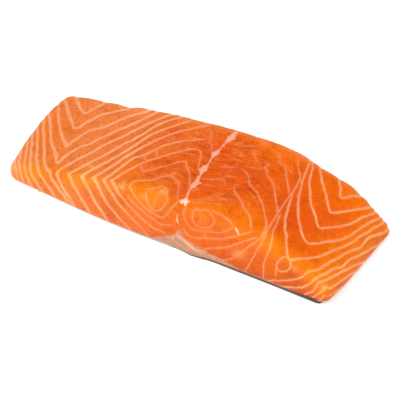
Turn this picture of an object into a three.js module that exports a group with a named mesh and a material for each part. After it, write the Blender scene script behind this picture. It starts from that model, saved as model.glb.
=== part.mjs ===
import * as THREE from "three";
import { mergeVertices } from "three/addons/utils/BufferGeometryUtils.js";

// Raw salmon fillet portion, skin side down. Millimetres, +Z up.
// X runs from the thin belly end to the thick loin end, Y along the fish from cut face to cut face.

// Driving dimensions
const portionDepth = 57;
const bellyEndX = -84.6;
const bellyEndBow = 4.6;
const bellyBowMiddleY = 8;
const bellyBowReach = 37;
const loinEndFrontX = 86.8;
const loinEndBackX = 88.0;

// The loin end leans in towards its foot, over the last part of the length
const loinUndercut = 1.2;
const loinLeanShare = 0.8;

// Height of the top surface above the board: [x, at the front cut face, at the back cut face]
const heightStations = [
  [-89, 5.5, 7.0],
  [-67, 12.6, 12.3],
  [-54, 15.8, 16.0],
  [-35, 21.4, 21.2],
  [-12, 26.0, 25.8],
  [10, 28.8, 28.8],
  [33, 30.6, 31.0],
  [50, 27.8, 27.8],
  [68, 21.8, 22.8],
  [82, 14.6, 12.6],
  [90, 8.6, 3.6],
];

// Skin sheet under the flesh
const skinThickness = 0.8;
const skinGap = 0.3;
const skinSetBack = 0.5;
const skinLoinSetBack = 3.0;
const skinEdgeRound = 0.25;

// Rounding of the flesh
const topRound = 3.2;
const loinExtraRound = 2.8;
const loinRoundFromX = 20;
const loinRoundToX = 85;
const baseRound = 1.4;
const bellyCornerRound = 5.0;
const loinCornerRound = 3.0;

// The front cut face swells out low down, most on the belly side
const swellDepth = 3.3;
const swellX = -26;
const swellLength = 52;
const swellFromShare = 0.2;

// Unevenness of the back cut edge
const backBump = { x: -74, length: 9, out: 0.5 };
const backNotch = { x: -53, length: 4, out: -1.1 };
const backFromShare = 0.6;

// Flakes: shallow waves that zigzag over the portion and repeat along the fish
const flakePitch = 11.2;
const flakeDepth = 0.28;
const flakeStations = [
  [-90, 31],
  [-63.5, -3],
  [-53, 20],
  [-42, 36],
  [-28, 60],
  [-8, 88],
  [6, 86],
  [46, 36],
  [66, 2.4],
  [90, 50],
];

// Mesh divisions
const fleshDivisions = { along: 72, across: 24, up: 8 };
const skinDivisions = { along: 48, across: 14, up: 1 };
const edgeCrowding = 0.6;

const halfDepth = portionDepth / 2;
const halfLength = (loinEndBackX - bellyEndX + bellyEndBow) / 2;
const fleshBase = skinThickness + skinGap;

// Smooth curve through the stations, rows of [x, value, value]; column picks the value
function curveAt(stations, x, column) {
  const last = stations.length - 1;
  let i = 0;
  while (i < last - 1 && x > stations[i + 1][0]) {
    i += 1;
  }
  const slopeAt = (k) => {
    const before = stations[Math.max(k - 1, 0)];
    const after = stations[Math.min(k + 1, last)];
    return (after[column] - before[column]) / (after[0] - before[0]);
  };
  const run = stations[i + 1][0] - stations[i][0];
  const t = (x - stations[i][0]) / run;
  const start = stations[i][column] * (1 + 2 * t) * (1 - t) ** 2 + slopeAt(i) * run * t * (1 - t) ** 2;
  const end = stations[i + 1][column] * t * t * (3 - 2 * t) - slopeAt(i + 1) * run * t * t * (1 - t);
  return start + end;
}

function bell(x, middle, length) {
  return Math.exp(-(((x - middle) / length) ** 2));
}

function topHeight(x, y) {
  const toBack = THREE.MathUtils.clamp(y / portionDepth + 0.5, 0, 1);
  return THREE.MathUtils.lerp(curveAt(heightStations, x, 1), curveAt(heightStations, x, 2), toBack);
}

function bellyEnd(y) {
  return bellyEndX - bellyEndBow * Math.cos((Math.PI / 2) * ((y - bellyBowMiddleY) / bellyBowReach));
}

function loinEnd(y) {
  return THREE.MathUtils.lerp(loinEndFrontX, loinEndBackX, y / portionDepth + 0.5);
}

// Crowds evenly spaced values from -1 to 1 towards both ends
function crowd(t) {
  return (1 - edgeCrowding) * t + edgeCrowding * Math.sin((Math.PI * t) / 2);
}

// Turns the square corners of the plan into round ones
function roundCorner(plan) {
  const radius = plan.x > 0 ? loinCornerRound : bellyCornerRound;
  const outX = Math.abs(plan.x) - (halfLength - radius);
  const outY = Math.abs(plan.y) - (halfDepth - radius);
  if (outX <= 0 || outY <= 0) {
    return;
  }
  const shrink = Math.max(outX, outY) / Math.hypot(outX, outY);
  plan.x = Math.sign(plan.x) * (halfLength - radius + outX * shrink);
  plan.y = Math.sign(plan.y) * (halfDepth - radius + outY * shrink);
}

// Rounds one edge: how far a point moves in from the wall and in from the face.
// wallDistance and faceDistance are the point's distances to the wall and to the face.
function roundEdge(wallDistance, faceDistance, radius) {
  const onFace = faceDistance <= wallDistance;
  const reach = onFace ? wallDistance : faceDistance;
  if (reach >= radius) {
    return { wall: wallDistance, face: faceDistance };
  }
  const angle = (Math.PI / 4) * (1 - reach / radius);
  const near = radius * (1 - Math.cos(angle));
  const far = radius * (1 - Math.sin(angle));
  return onFace ? { wall: far, face: near } : { wall: near, face: far };
}

// Plan position of a point of the straight block, bent to the outline of the portion
function bendPlan(plan) {
  const along = (plan.x / halfLength + 1) / 2;
  return {
    x: THREE.MathUtils.lerp(bellyEnd(plan.y), loinEnd(plan.y), along),
    y: plan.y,
  };
}

// Where the front face swells and the back edge wanders, by height (0 base, 1 top)
function faceOffset(x, y, rise) {
  const front = THREE.MathUtils.smoothstep(-y / halfDepth, swellFromShare, 1);
  const back = THREE.MathUtils.smoothstep(y / halfDepth, backFromShare, 1);
  const low = Math.cos((Math.PI / 2) * rise);
  const swell = swellDepth * bell(x, swellX, swellLength) * low;
  const bump = backBump.out * bell(x, backBump.x, backBump.length);
  const notch = backNotch.out * bell(x, backNotch.x, backNotch.length);
  return back * (bump + notch) - front * swell;
}

function flakeWave(x, y) {
  const phase = (y - curveAt(flakeStations, x, 1)) / flakePitch;
  return flakeDepth * (Math.cos(2 * Math.PI * phase) - 1) / 2;
}

// Carries a point of the unit block (each coordinate from -1 to 1) to the flesh
function fleshPoint(unit) {
  const plan = { x: crowd(unit.x) * halfLength, y: crowd(unit.y) * halfDepth };
  const rise = (crowd(unit.z) + 1) / 2;
  const straight = bendPlan(plan);
  const height = topHeight(straight.x, straight.y);
  const z = fleshBase + rise * (height - fleshBase);
  const loinShare = THREE.MathUtils.smoothstep(straight.x, loinRoundFromX, loinRoundToX);
  const upper = rise > 0.5;
  const radius = upper ? topRound + loinExtraRound * loinShare : baseRound;
  const wallDistance = Math.min(halfLength - Math.abs(plan.x), halfDepth - Math.abs(plan.y));
  const faceDistance = upper ? height - z : z - fleshBase;
  const rounded = roundEdge(wallDistance, faceDistance, radius);
  if (wallDistance < radius) {
    plan.x *= (halfLength - rounded.wall) / (halfLength - wallDistance);
    plan.y *= (halfDepth - rounded.wall) / (halfDepth - wallDistance);
  }
  roundCorner(plan);
  const place = bendPlan(plan);
  const localHeight = topHeight(place.x, place.y);
  const level = upper ? localHeight - rounded.face : fleshBase + rounded.face;
  const edgeFade = THREE.MathUtils.smoothstep(wallDistance, 0, radius);
  const relief = unit.z === 1 ? flakeWave(place.x, place.y) * edgeFade : 0;
  const lean = loinUndercut * (1 - rise) * THREE.MathUtils.smoothstep(plan.x / halfLength, loinLeanShare, 1);
  return new THREE.Vector3(place.x - lean, place.y + faceOffset(place.x, place.y, rise), level + relief);
}

// Carries a point of the unit block to the skin sheet
function skinPoint(unit) {
  const plan = { x: crowd(unit.x) * halfLength, y: crowd(unit.y) * halfDepth };
  roundCorner(plan);
  plan.y *= 1 - skinSetBack / halfDepth;
  const place = bendPlan(plan);
  const setBack = plan.x > 0 ? skinLoinSetBack : skinSetBack;
  const edgeInset = unit.z < 0 ? skinEdgeRound : 0;
  const shrink = 1 - (setBack + edgeInset) / halfLength;
  const y = place.y + faceOffset(place.x, place.y, 0);
  const z = unit.z < 0 ? 0 : skinThickness;
  return new THREE.Vector3(place.x * shrink, y * (1 - edgeInset / halfDepth), z);
}

// A closed block of the given divisions, each corner carried by the given function
function shapedBlock(divisions, carry) {
  const box = new THREE.BoxGeometry(2, 2, 2, divisions.along, divisions.across, divisions.up);
  box.deleteAttribute("normal");
  box.deleteAttribute("uv");
  const geometry = mergeVertices(box, 1e-5);
  const corners = geometry.getAttribute("position");
  const corner = new THREE.Vector3();
  for (let i = 0; i < corners.count; i += 1) {
    corner.fromBufferAttribute(corners, i);
    corners.setXYZ(i, ...carry(corner).toArray());
  }
  return geometry;
}

function makeFlesh() {
  const material = new THREE.MeshStandardMaterial({ color: 0xee7a3c, roughness: 0.35, metalness: 0 });
  const flesh = new THREE.Mesh(shapedBlock(fleshDivisions, fleshPoint), material);
  flesh.name = "flesh";
  return flesh;
}

function makeSkin() {
  const material = new THREE.MeshStandardMaterial({ color: 0x50555a, roughness: 0.3, metalness: 0.2 });
  const skin = new THREE.Mesh(shapedBlock(skinDivisions, skinPoint), material);
  skin.name = "skin";
  return skin;
}

// The finished portion, with the middle of its footprint on the origin
function makePortion() {
  const portion = new THREE.Group();
  portion.add(makeFlesh(), makeSkin());
  const bounds = new THREE.Box3().setFromObject(portion);
  const middle = bounds.getCenter(new THREE.Vector3());
  for (const piece of portion.children) {
    piece.geometry.translate(-middle.x, -middle.y, 0);
    piece.geometry.computeVertexNormals();
  }
  return portion;
}

export default makePortion();
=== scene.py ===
import math

import bmesh
import bpy
import numpy as np
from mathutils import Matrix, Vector
from mathutils.bvhtree import BVHTree
from mathutils.kdtree import KDTree


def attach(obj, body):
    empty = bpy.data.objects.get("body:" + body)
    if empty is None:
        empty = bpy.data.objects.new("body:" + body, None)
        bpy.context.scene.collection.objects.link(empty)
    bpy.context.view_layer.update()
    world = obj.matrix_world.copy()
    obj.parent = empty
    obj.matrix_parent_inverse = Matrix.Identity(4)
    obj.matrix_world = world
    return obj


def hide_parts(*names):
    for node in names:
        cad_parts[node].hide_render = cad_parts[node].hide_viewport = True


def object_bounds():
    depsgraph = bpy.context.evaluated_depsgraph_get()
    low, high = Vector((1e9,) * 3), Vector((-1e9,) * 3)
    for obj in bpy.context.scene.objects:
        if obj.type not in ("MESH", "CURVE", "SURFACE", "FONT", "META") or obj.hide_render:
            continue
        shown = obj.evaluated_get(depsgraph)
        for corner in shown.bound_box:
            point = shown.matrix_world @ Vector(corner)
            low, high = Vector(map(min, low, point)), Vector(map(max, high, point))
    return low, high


# Raw salmon fillet portion. Settings are in millimetres, those of the stage and all that is placed in metres.
# X runs from the thin belly end to the thick loin end, Y along the fish, Z up from the board.
mm = 0.001

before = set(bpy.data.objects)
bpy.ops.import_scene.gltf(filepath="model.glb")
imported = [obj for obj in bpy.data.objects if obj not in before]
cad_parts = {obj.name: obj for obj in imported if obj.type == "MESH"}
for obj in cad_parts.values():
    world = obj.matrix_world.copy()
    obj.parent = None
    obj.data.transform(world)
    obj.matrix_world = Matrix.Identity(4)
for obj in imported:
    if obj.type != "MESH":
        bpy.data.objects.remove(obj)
cadLow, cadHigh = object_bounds()
print("frame loaded")


# Node helpers

def fromHex(code):
    channels = [value / 255 for value in bytes.fromhex(code)]
    linear = [v / 12.92 if v <= 0.04045 else ((v + 0.055) / 1.055) ** 2.4 for v in channels]
    return (*linear, 1.0)


def feed(socket, value):
    if isinstance(value, bpy.types.NodeSocket):
        socket.id_data.links.new(value, socket)
    else:
        socket.default_value = value


# Feeds inputs by name, with _ for a space
def fill(node, **inputs):
    for name, value in inputs.items():
        feed(node.inputs[name.replace("_", " ")], value)
    return node


# A new node in the tree of the sockets among some values, with its inputs fed by them in order
def addNode(kind, values, **settings):
    tree = next(value.id_data for value in values if isinstance(value, bpy.types.NodeSocket))
    node = tree.nodes.new(kind)
    for name, setting in settings.items():
        setattr(node, name, setting)
    for socket, value in zip(node.inputs, values):
        feed(socket, value)
    return node


def calc(operation, *values):
    return addNode("ShaderNodeMath", values, operation=operation).outputs[0]


def times(first, second):
    return calc("MULTIPLY", first, second)


def ramp(value, low, high, toLow=0.0, toHigh=1.0):
    values = (value, low, high, toLow, toHigh)
    return addNode("ShaderNodeMapRange", values, interpolation_type="SMOOTHSTEP").outputs[0]


def tint(share, first, second, mode="MIX"):
    node = addNode("ShaderNodeMix", (share,), data_type="RGBA", blend_type=mode)
    feed(node.inputs[6], first)
    feed(node.inputs[7], second)
    return node.outputs[2]


def attribute(tree, name, output="Fac"):
    node = tree.nodes.new("ShaderNodeAttribute")
    node.attribute_name = name
    return node.outputs[output]


# Object coordinates, turned, in units of the given millimetres
def place(tree, size=(1, 1, 1), turn=(0, 0, 0)):
    coordinates = tree.nodes.new("ShaderNodeTexCoord").outputs["Object"]
    mapping = tree.nodes.new("ShaderNodeMapping")
    mapping.vector_type = "TEXTURE"
    fill(mapping, Vector=coordinates, Scale=[value * mm for value in size],
         Rotation=[math.radians(angle) for angle in turn])
    return mapping.outputs[0]


def noise(vector, scale, detail=2.0, roughness=0.5, distortion=0.0):
    node = addNode("ShaderNodeTexNoise", (vector,))
    fill(node, Scale=scale, Detail=detail, Roughness=roughness, Distortion=distortion)
    return node.outputs["Fac"]


def emboss(height, strength, distance):
    node = height.id_data.nodes.new("ShaderNodeBump")
    return fill(node, Height=height, Strength=strength, Distance=distance * mm).outputs[0]


def startMaterial(name):
    material = bpy.data.materials.new(name)
    material.use_nodes = True
    tree = material.node_tree
    tree.nodes.clear()
    output = tree.nodes.new("ShaderNodeOutputMaterial")
    shader = tree.nodes.new("ShaderNodeBsdfPrincipled")
    tree.links.new(shader.outputs[0], output.inputs["Surface"])
    return material, tree, shader


# Mesh helpers

# A soft step from 0 at the start to 1 at the end, whichever is higher
def smoothStep(value, start, end):
    share = np.clip((value - start) / (end - start), 0, 1)
    return share * share * (3 - 2 * share)


# The product of soft steps, each as (axis, start, end)
def within(points, steps):
    return np.prod([smoothStep(points[:, "xyz".index(axis)], *ends) for axis, *ends in steps], axis=0)


# A hump, 1 in the middle, that falls off over the reach
def hump(distance, reach):
    return np.exp(-((distance / reach) ** 2))


def readVectors(items, field):
    values = np.zeros(len(items) * 3, np.float32)
    items.foreach_get(field, values)
    return values.reshape(-1, 3).astype(float)


def movePoints(mesh, points):
    mesh.vertices.foreach_set("co", (points * mm).astype(np.float32).ravel())
    mesh.update()


def storeValues(mesh, name, values):
    kind, field = ("FLOAT", "value") if values.ndim == 1 else ("FLOAT_VECTOR", "vector")
    stored = mesh.attributes.new(name, kind, "POINT")
    stored.data.foreach_set(field, values.astype(np.float32).ravel())


def addObject(name, data):
    thing = bpy.data.objects.new(name, data)
    bpy.context.scene.collection.objects.link(thing)
    return thing


# A camera or light at a place, looking the given way
def addAimed(data, at, ahead):
    thing = addObject(data.name, data)
    thing.location = at
    thing.rotation_mode = "QUATERNION"
    thing.rotation_quaternion = ahead.to_track_quat("-Z", "Y")
    return thing


# A copy of a CAD node's mesh, joined up again in four-sided faces
def copyNode(node, name):
    shape = bmesh.new()
    shape.from_mesh(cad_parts[node].data)
    bmesh.ops.remove_doubles(shape, verts=shape.verts, dist=0.001 * mm)
    bmesh.ops.join_triangles(
        shape, faces=shape.faces, topology_influence=2,
        angle_face_threshold=math.pi, angle_shape_threshold=math.pi)
    for face in shape.faces:
        face.smooth = True
    mesh = bpy.data.meshes.new(name)
    shape.to_mesh(mesh)
    shape.free()
    return mesh


# The piece with its modifiers taken into its mesh
def settle(piece):
    graph = bpy.context.evaluated_depsgraph_get()
    mesh = bpy.data.meshes.new_from_object(piece.evaluated_get(graph))
    piece.modifiers.clear()
    piece.data = mesh
    return mesh


# A sum of waves in seeded directions, about from -1 to 1
def unevenness(points, waveLength, seed, waves=9):
    chance = np.random.default_rng(seed)
    total = np.zeros(len(points))
    for _ in range(waves):
        direction = chance.normal(size=3)
        direction /= np.linalg.norm(direction)
        length = waveLength * chance.uniform(0.6, 1.6)
        total += np.sin(points @ direction * (2 * math.pi / length) + chance.uniform(0, 2 * math.pi))
    return total / math.sqrt(waves * 2)


# Camera

cameraPlan = dict(
    azimuth=30.6, elevation=43.7, distance=3000, right=3.0, up=2.77, pixelsPerMm=2.165, imagePixels=400,
    sensor=36, farthest=20000)


def makeCamera():
    plan = cameraPlan
    azimuth, elevation = math.radians(plan["azimuth"]), math.radians(plan["elevation"])
    back = Vector((math.sin(azimuth) * math.cos(elevation), -math.cos(azimuth) * math.cos(elevation),
                   math.sin(elevation)))
    right = Vector((math.cos(azimuth), math.sin(azimuth), 0))
    up = back.cross(right)
    data = bpy.data.cameras.new("camera")
    data.sensor_width = plan["sensor"]
    data.lens = plan["pixelsPerMm"] * plan["distance"] * plan["sensor"] / plan["imagePixels"]
    data.clip_end = plan["farthest"] * mm
    at = (right * plan["right"] + up * plan["up"] + back * plan["distance"]) * mm
    bpy.context.scene.camera = addAimed(data, at, -back)


makeCamera()
print("camera placed")


# Flesh

# Fat lines, each over one or more faces: top as (x, y), front and back as (x, z), end as (y, z).
# Chevrons and arms of the belly flakes
bellyLines = [
    dict(top=[(-80.8, 26.8), (-77.4, 23.4), (-74.9, 20.7), (-70.3, 17.4), (-68.4, 21.6), (-65.7, 26.2)]),
    dict(top=[(-87.2, 26.2), (-82.2, 20.4), (-77.8, 15.3), (-72.5, 9.6), (-68.2, 6.1), (-65.2, 12.7),
        (-62.2, 18.2), (-57.7, 22), (-51.5, 25.5)]),
    dict(top=[(-88, 23.5), (-82.8, 13.8), (-77.3, 6.3), (-72.6, 0.2), (-67, -5.3), (-65.1, -7.5),
        (-64.2, -2.7), (-61.2, 5.5), (-56.9, 9), (-53.1, 13.4), (-49.2, 19.2), (-41.5, 26)]),
    dict(top=[(-88.5, 15), (-82.3, 5.9), (-76.8, -2.5), (-72.5, -8), (-67.3, -13.7), (-62.6, -19.4),
        (-61.4, -13.5), (-58.9, -6.5), (-55.2, -2.5), (-52, 3), (-46.3, 11.3), (-41.2, 18.9), (-37, 26.6)]),
    dict(top=[(-88.5, 10.5), (-82.3, 0), (-75.7, -10), (-69.6, -19.9), (-64.5, -25.7)],
        front=[(-63.5, 12.6), (-59.8, 9.6), (-55.2, 6.1), (-52.5, 4)]),
    dict(top=[(-88.9, 5.5), (-85.6, 0), (-79.4, -10.2), (-73.8, -20), (-69.3, -25.8)], front=[(-68.3, 11.7),
        (-64.9, 8), (-60.3, 3.9), (-58.3, 2)]),
    dict(top=[(-87.4, -1.2), (-82.4, -10.3), (-77, -20.1), (-73.7, -25.7)], front=[(-73, 10.1),
        (-69.7, 6.3), (-65.7, 1.8)]),
    dict(top=[(-88, -4.8), (-84.8, -10.3), (-79.8, -20.2), (-76.8, -25.7)], front=[(-76, 9.6), (-75, 7),
        (-71.8, 2.5)]),
    dict(top=[(-87.6, -9.3), (-82.8, -20.2), (-79.6, -25.8)], front=[(-78.9, 8.4), (-77.6, 5.1),
        (-76.2, 2.8)]),
    dict(top=[(-86.6, -15.2), (-85, -20.2), (-82.2, -25.7)], front=[(-81.4, 7.4), (-79.6, 3.6)]),
    dict(top=[(-28.5, 27.5), (-34, 21.4), (-38.2, 13.8), (-42.7, 5.3), (-47.7, -2.3), (-50.3, -7),
        (-53.7, -13.3), (-57.8, -21), (-58.9, -25.5)], front=[(-58.9, 13.2), (-54.8, 9.5), (-50.7, 5.6),
        (-48.8, 3.2)]),
    dict(top=[(-23.8, 27), (-28.6, 22.1), (-32, 16.1), (-35.5, 6.8), (-38.8, 1), (-42.3, -6.3),
        (-46.3, -13.3), (-50, -20.7), (-52.9, -25.4)], front=[(-51.4, 16.5), (-47.5, 11.6), (-42.9, 7),
        (-40.8, 4.4)]),
    dict(top=[(-18.2, 26.7), (-23, 20.5), (-26.8, 16), (-30.3, 10.2), (-32.7, 3.2), (-35.5, -4.2),
        (-38.7, -10.7), (-43.3, -20), (-45.5, -25.5)], front=[(-44.6, 19.1), (-41.4, 15.2), (-37.2, 10.7),
        (-33.4, 6.6), (-31.2, 4.1)]),
    dict(top=[(-8.3, 27), (-12, 23.8), (-15.3, 20.6), (-19.8, 16), (-24.3, 10), (-28.7, 2), (-33.1, -7.7),
        (-37, -18.5), (-39.7, -25.5)], front=[(-38.1, 21.7), (-35.6, 17.9), (-31.7, 13.3), (-26.9, 8.7),
        (-19.6, 3.2)]),
    dict(top=[(-5, 16.8), (-7.5, 15.6), (-13.5, 12.2), (-19.7, 6), (-25.3, -3.3), (-29, -7.3), (-31, -14.3),
        (-33.9, -25.4)], front=[(-32.4, 22.5), (-29, 18.3), (-23.9, 13.7), (-17.9, 9.4), (-10.3, 3.9)]),
    dict(top=[(3.7, -3.4), (2.3, -1.5), (1, 1.5), (-0.6, 5.5), (-2.4, 8.3), (-4.6, 9), (-7.4, 8.1),
        (-11.9, 3.9), (-18, -2.7), (-22.7, -8.3), (-26.8, -16.8), (-30.2, -25)], front=[(-28.2, 23.9),
        (-25.2, 19.7), (-19.2, 15.7), (-13.4, 12.1), (-10.2, 10), (-4.6, 7.9), (1.6, 7.4)]),
]

# Rings of the muscle cones either side of the septum
ringLines = [
    dict(top=[(6, -15.9), (4.5, -13.1), (2.7, -9.8), (0.5, -7), (-2.6, -3.4), (-5.3, -0.8), (-8.4, -2.9),
        (-12.8, -7.4), (-17, -12), (-20, -14.8)]),
    dict(top=[(5, -25), (3.6, -22), (2.3, -19.2), (0.9, -16.3), (-0.9, -14.6), (-3.5, -13.2), (-6.5, -12.6),
        (-9.2, -14.1), (-12.3, -17.9), (-14.5, -19.5), (-17.8, -20.6), (-19.8, -22.8), (-19.8, -25.8)],
        front=[(-19, 23.4), (-17.2, 22), (-12.2, 18.8), (-8.3, 17), (-4, 15.8), (-1.2, 16), (0.9, 17.8),
        (2.9, 21.8), (4.6, 25), (6.2, 27.6)]),
    dict(top=[(-4.8, -8.8), (-5.8, -10.8), (-6.6, -12.4)], strength=0.8),
    dict(top=[(-11.6, -25), (-9.2, -23.8), (-7.2, -22), (-6, -20.4), (-4.7, -20), (-3, -21.4),
        (-1.8, -23.2), (-0.4, -25.4)], front=[(0.7, 26.4), (-0.2, 23.1), (-1.8, 20.1), (-3.5, 18.5),
        (-5.2, 18), (-6.9, 18.8), (-8.6, 20.5), (-9.9, 22.8), (-11.3, 25)]),
    dict(front=[(-20, 20), (-16.8, 18), (-10.9, 15.1), (-5.2, 12.8), (-1.3, 11.8), (2.6, 13), (4.6, 14)]),
    dict(front=[(-5.8, 24.4), (-5.5, 20.4)], strength=0.8),
    dict(top=[(25.4, -27.3), (22.6, -26.2), (20.3, -26), (18, -26.9)], front=[(16, 28), (14.9, 25.8),
        (14.5, 23.3), (15, 21), (16.6, 19.4), (19, 19), (22, 20.1), (24.6, 22), (26, 24.6), (26.2, 27.4)]),
    dict(front=[(19.1, 25.7), (19, 21.3)], strength=0.8),
    dict(front=[(21.3, 25.4), (21.3, 22.6)], strength=0.4),
    dict(top=[(23.6, -25.2), (26.3, -25.6), (29.1, -25.8), (31.6, -26.4)], front=[(34.3, 29), (35.7, 27.4)],
        width=1.8, strength=0.85),
    dict(front=[(35.8, 26.6), (34.3, 25.2), (32.7, 23.6), (30.1, 21.2), (27.6, 19.8), (23.3, 18.6),
        (18.5, 17), (14.6, 16.4), (11.9, 18.1), (10.4, 20.4), (9.8, 23.1), (10.3, 25.7)], strength=0.8),
    dict(front=[(9.9, 14.3), (12, 11.8), (14.3, 11.2), (17.4, 11.9), (20, 13.1), (23, 14.2), (26, 15.3),
        (30.3, 17.3), (32.8, 18.9), (35.4, 20.8), (38, 22.8), (40.2, 24.8), (43, 26.6), (45.2, 27.8)]),
    dict(front=[(21, 6.6), (24.8, 8.9), (28.6, 10.8), (32, 12.6), (34.6, 14.6), (37.2, 16.9), (39.7, 19),
        (42.2, 21.6), (44.6, 23.7), (47.4, 25.8)], width=1.2),
]

# Small strokes: ticks, curls and links
smallLines = [
    dict(top=[(-19.3, 12.5), (-18.4, 10.6)], strength=0.5),
    dict(top=[(-21.5, 1), (-18.5, -3.3)], strength=0.6),
    dict(top=[(-25, -4.7), (-22, -7)], strength=0.6),
    dict(top=[(-23.1, -10.6), (-19.4, -14.6)], strength=0.5),
    dict(top=[(-24, -22.6), (-23.4, -25.8)]),
    dict(top=[(-25.2, -26), (-23.4, -27), (-21.2, -24.6)], strength=0.7),
    dict(top=[(-46.7, -17.7), (-42.7, -18.7)], strength=0.6),
    dict(top=[(-4.6, 22.2), (-2.9, 18)], strength=0.4, width=1.8),
    dict(top=[(-2.7, 15.6), (-0.1, 14.6), (1, 12.6), (2.2, 10.5)], strength=0.7),
    dict(top=[(12, 13), (12.7, 14.3), (14.7, 15.3), (15.7, 13.7)], strength=0.5),
    dict(top=[(20.1, 18.3), (22.4, 15.5), (24.5, 13.6), (26.7, 12.3)], strength=0.8),
    dict(top=[(29.3, 14.3), (31.5, 12.8), (30.2, 10.5), (32.6, 9.2), (33.7, 7), (38.8, 3.6), (43, -1.3),
        (47, -6.9), (48.3, -9.6)]),
    dict(top=[(31.5, 21), (33.6, 19.2), (35.2, 16.8), (38, 16), (39.8, 14.2), (41.3, 11.4), (43.3, 9),
        (47.2, 3.8)]),
    dict(top=[(22.7, 5.3), (27.7, 1), (30, -2.2), (35.6, -5.2), (38, -7.3), (41.6, -10.2), (44.8, -14.4),
        (47.4, -17.6), (48.8, -20.4), (49.6, -25.4)]),
    dict(top=[(24.5, -7), (26.7, -9.9), (29.7, -12), (33, -14.6), (35.9, -17.3), (38, -18.4), (40.6, -20.5),
        (42.6, -23.1), (44.3, -25.4)], width=1.3),
    dict(top=[(17.3, -5), (19.7, -6.7)], strength=0.5, width=1.5),
    dict(top=[(17.6, 6.9), (17.8, 6.4)], width=2),
    dict(top=[(16.1, 4.5), (16.6, 4)], width=1.4),
    dict(top=[(33.9, -1.3), (34.3, -1.6)], width=2),
    dict(top=[(36.4, -13.5), (36.6, -14.1)], width=1.6),
    dict(front=[(21.2, 16.2), (22.3, 14.8)], width=2.0, strength=0.8),
    dict(front=[(10.3, 21), (12.3, 17.8), (15.1, 15.6)], strength=0.5),
    dict(front=[(37.6, 12), (40, 12.8), (42.4, 15)], width=2.4, strength=0.45),
    dict(front=[(36, 9.4), (38.4, 11.8), (40.2, 11.2)], width=2.4, strength=0.45),
]

# Wisps that cross the middle of the top
wispLines = [
    dict(top=[(17.5, -18.9), (19.3, -15.3), (22.4, -13.4)]),
    dict(top=[(14.3, -21.7), (17, -20.3), (20.2, -19.1)]),
    dict(top=[(12.4, -24), (16, -23.2), (20.4, -21.6), (24.8, -20.4)]),
    dict(top=[(10.6, -11.6), (13.2, -10.4), (15.8, -10.2)]),
    dict(top=[(12, -6.4), (14.6, -5.4), (18.8, -1.6)]),
    dict(top=[(11.4, 2.6), (15.4, 3.4), (19, 6)]),
    dict(top=[(22.6, -17.6), (26.4, -15.2), (28.6, -15.6)]),
    dict(top=[(10, 19), (15.4, 20.2), (21.6, 23.2)]),
    dict(top=[(24.4, 8.2), (28.6, 8.4), (30.4, 9.8)]),
]

# Seam of thin strands between the middle and the loin
seamLines = [
    dict(top=[(40.4, 23.5), (43.1, 19.6), (46.3, 15.7), (47.3, 11.6), (48, 6.1), (48, 1.2), (48.4, -3.1),
        (48.8, -7.9), (49.3, -12.1), (49.6, -15.9), (49.9, -19.3), (50, -22), (49.8, -25)],
        front=[(49.4, 25.6), (47.5, 23.4), (44, 18.6), (40, 12.6), (35.6, 7.4), (32.4, 5)]),
    dict(top=[(49.9, -19.5), (50.5, -22.2), (50.9, -25)], front=[(50.9, 26), (50.4, 23.4), (48.2, 17.9),
        (46, 11.6), (43.3, 4.3)]),
    dict(top=[(49.8, -9), (50.7, -12.4), (51.6, -15.6), (52.2, -19), (53.5, -22.4)], front=[(54.6, 25.2),
        (54.6, 22.2), (53.4, 18), (52.2, 12.9), (51.8, 7.6), (51.8, 4.8)]),
]

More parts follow.
